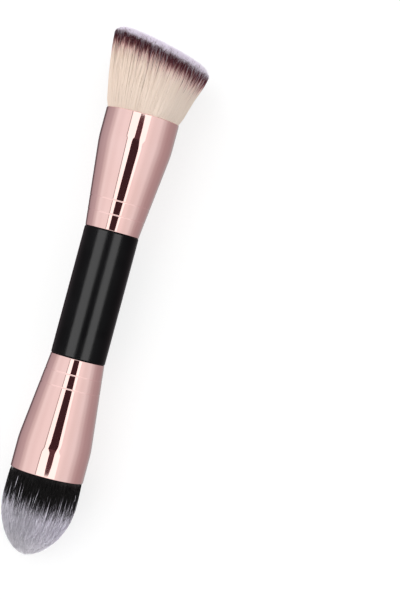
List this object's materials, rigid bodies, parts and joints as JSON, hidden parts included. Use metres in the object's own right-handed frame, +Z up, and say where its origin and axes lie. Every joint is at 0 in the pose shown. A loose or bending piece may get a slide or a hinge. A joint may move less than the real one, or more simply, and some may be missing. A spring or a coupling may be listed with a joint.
{
  "type": "double ended makeup brush",
  "caption": "Short double ended makeup brush: a round handle between two flared metal ferrules, one with a slanted dense head and one with a bullet shaped head.",
  "frame": {"origin": "on the surface that the brush lies on, under the middle of its length and width", "axes": "+X along the brush towards the slanted head, +Y towards the longer flank of that head, +Z up from the surface"},
  "size_m": [0.1654, 0.032, 0.0324],
  "materials": {
    "handle_paint": "matte",
    "ferrule_metal": "polished",
    "root_resin": "gloss",
    "ivory_bristles": "satin",
    "smoke_bristles": "satin"
  },
  "bodies": {
    "root": {"handle": "handle_paint", "slanted_ferrule": "ferrule_metal", "bullet_ferrule": "ferrule_metal", "slanted_root_resin": "root_resin", "bullet_root_resin": "root_resin", "slanted_bristles": "ivory_bristles", "bullet_bristles": "smoke_bristles"}
  },
  "joints": []
}
